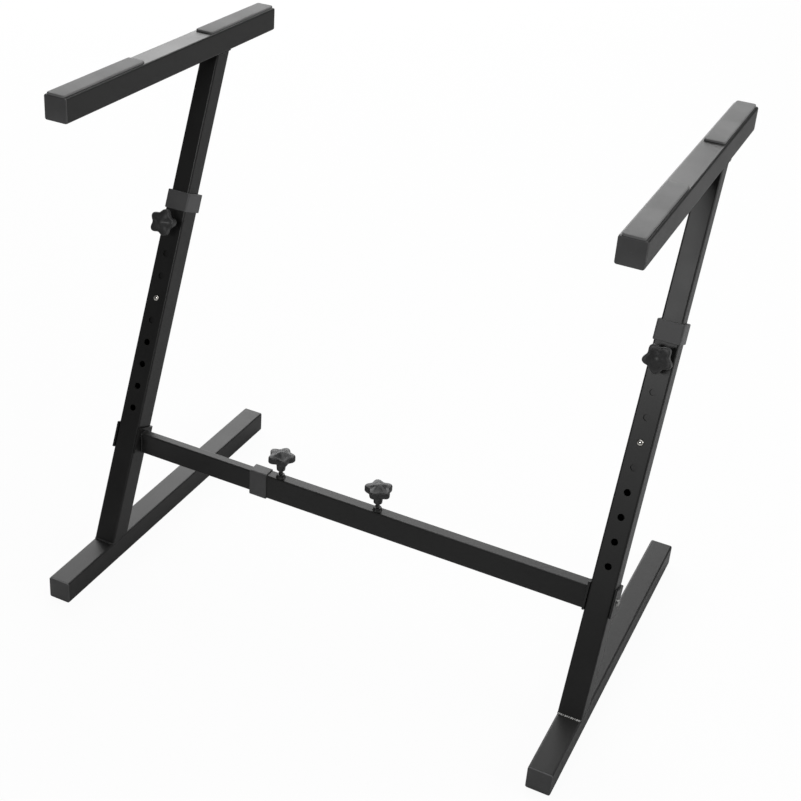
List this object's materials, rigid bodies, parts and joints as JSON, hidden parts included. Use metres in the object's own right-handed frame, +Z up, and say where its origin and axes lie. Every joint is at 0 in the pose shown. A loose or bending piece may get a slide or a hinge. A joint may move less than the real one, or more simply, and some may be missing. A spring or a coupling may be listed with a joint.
{
  "type": "z-style keyboard stand",
  "caption": "Z-style keyboard stand: two side frames with foot, leaning telescopic upright and arm, joined by a telescopic crossbar with star knobs.",
  "frame": {"origin": "on the floor, at the middle of the stand's footprint", "axes": "+X along the crossbar to the right frame, +Y from the feet's front ends to the rear, +Z up"},
  "size_m": [0.8188, 0.575, 0.7873],
  "materials": {
    "powder_coat": "satin black powder coat",
    "black_plastic": "matte black moulded plastic",
    "knob_plastic": "matte black moulded plastic",
    "pad_rubber": "dark grey rubber",
    "nickel": "bright nickel plate",
    "zinc_steel": "zinc plated steel"
  },
  "bodies": {
    "right_frame": {"right_foot_tube": "powder_coat", "right_foot_cap_front": "black_plastic", "right_foot_cap_rear": "black_plastic", "right_lower_upright": "powder_coat", "right_upright_collar": "black_plastic", "right_upright_weld_nut": "powder_coat", "right_crossbar_bracket": "powder_coat", "right_bracket_bolt": "zinc_steel", "right_bracket_nut": "zinc_steel", "crossbar_outer": "powder_coat", "crossbar_collar": "black_plastic", "crossbar_weld_nut_left": "powder_coat", "crossbar_weld_nut_right": "powder_coat"},
    "right_arm": {"right_upper_upright": "powder_coat", "right_upright_guide": "black_plastic", "right_arm_tube": "powder_coat", "right_arm_cap_front": "black_plastic", "right_arm_cap_rear": "black_plastic", "right_arm_pad_front": "pad_rubber", "right_arm_pad_rear": "pad_rubber", "right_button_spring": "zinc_steel"},
    "right_button": {"right_lock_button": "nickel"},
    "right_clamp_screw": {"right_upright_stud": "zinc_steel"},
    "right_clamp_knob": {"right_upright_knob": "knob_plastic"},
    "left_frame": {"left_foot_tube": "powder_coat", "left_foot_cap_front": "black_plastic", "left_foot_cap_rear": "black_plastic", "left_lower_upright": "powder_coat", "left_upright_collar": "black_plastic", "left_upright_weld_nut": "powder_coat", "left_crossbar_bracket": "powder_coat", "left_bracket_bolt": "zinc_steel", "left_bracket_nut": "zinc_steel", "crossbar_inner": "powder_coat", "crossbar_guide": "black_plastic"},
    "left_arm": {"left_upper_upright": "powder_coat", "left_upright_guide": "black_plastic", "left_arm_tube": "powder_coat", "left_arm_cap_front": "black_plastic", "left_arm_cap_rear": "black_plastic", "left_arm_pad_front": "pad_rubber", "left_arm_pad_rear": "pad_rubber", "left_button_spring": "zinc_steel"},
    "left_button": {"left_lock_button": "nickel"},
    "left_clamp_screw": {"left_upright_stud": "zinc_steel"},
    "left_clamp_knob": {"left_upright_knob": "knob_plastic"},
    "bar_left_clamp_screw": {"crossbar_stud_left": "zinc_steel"},
    "bar_left_clamp_knob": {"crossbar_knob_left": "knob_plastic"},
    "bar_right_clamp_screw": {"crossbar_stud_right": "zinc_steel"},
    "bar_right_clamp_knob": {"crossbar_knob_right": "knob_plastic"}
  },
  "joints": [
    {"name": "width_slide", "type": "slide", "parent": "right_frame", "child": "left_frame", "axis": [-1, 0, 0], "range_m": [-0.16, 0.08]},
    {"name": "right_height_slide", "type": "slide", "parent": "right_frame", "child": "right_arm", "axis": [0, 0.3827, 0.9239], "range_m": [-0.14, 0.07]},
    {"name": "right_button_press", "type": "slide", "parent": "right_arm", "child": "right_button", "axis": [0, 0.9239, -0.3827], "range_m": [0, 0.0055], "stiffness_N_per_m": 600, "springref_m": -0.003, "deforming": ["right_button_spring"]},
    {"name": "right_upright_screw_travel", "type": "slide", "parent": "right_frame", "child": "right_clamp_screw", "axis": [0, -0.9239, 0.3827], "range_m": [0, 0.002]},
    {"name": "right_upright_knob_turn", "type": "hinge", "parent": "right_clamp_screw", "child": "right_clamp_knob", "pos_m": [0.385, 0.02205, 0.5071], "axis": [0, -0.9239, 0.3827], "range_deg": [0, 722]},
    {"name": "left_height_slide", "type": "slide", "parent": "left_frame", "child": "left_arm", "axis": [0, 0.3827, 0.9239], "range_m": [-0.14, 0.07]},
    {"name": "left_button_press", "type": "slide", "parent": "left_arm", "child": "left_button", "axis": [0, 0.9239, -0.3827], "range_m": [0, 0.0055], "stiffness_N_per_m": 600, "springref_m": -0.003, "deforming": ["left_button_spring"]},
    {"name": "left_upright_screw_travel", "type": "slide", "parent": "left_frame", "child": "left_clamp_screw", "axis": [0, -0.9239, 0.3827], "range_m": [0, 0.002]},
    {"name": "left_upright_knob_turn", "type": "hinge", "parent": "left_clamp_screw", "child": "left_clamp_knob", "pos_m": [-0.385, 0.02205, 0.5071], "axis": [0, -0.9239, 0.3827], "range_deg": [0, 722]},
    {"name": "bar_left_screw_travel", "type": "slide", "parent": "right_frame", "child": "bar_left_clamp_screw", "axis": [0, 0, 1], "range_m": [0, 0.002]},
    {"name": "bar_left_knob_turn", "type": "hinge", "parent": "bar_left_clamp_screw", "child": "bar_left_clamp_knob", "pos_m": [-0.12, -0.0925, 0.2035], "axis": [0, 0, 1], "range_deg": [0, 722]},
    {"name": "bar_right_screw_travel", "type": "slide", "parent": "right_frame", "child": "bar_right_clamp_screw", "axis": [0, 0, 1], "range_m": [0, 0.002]},
    {"name": "bar_right_knob_turn", "type": "hinge", "parent": "bar_right_clamp_screw", "child": "bar_right_clamp_knob", "pos_m": [0.0405, -0.0925, 0.2035], "axis": [0, 0, 1], "range_deg": [0, 722]}
  ],
  "couplings": [
    {"joint": "right_upright_knob_turn", "follows": "right_upright_screw_travel", "rad_per_m": 6283.2},
    {"joint": "left_upright_knob_turn", "follows": "left_upright_screw_travel", "rad_per_m": 6283.2},
    {"joint": "bar_left_knob_turn", "follows": "bar_left_screw_travel", "rad_per_m": 6283.2},
    {"joint": "bar_right_knob_turn", "follows": "bar_right_screw_travel", "rad_per_m": 6283.2}
  ]
}
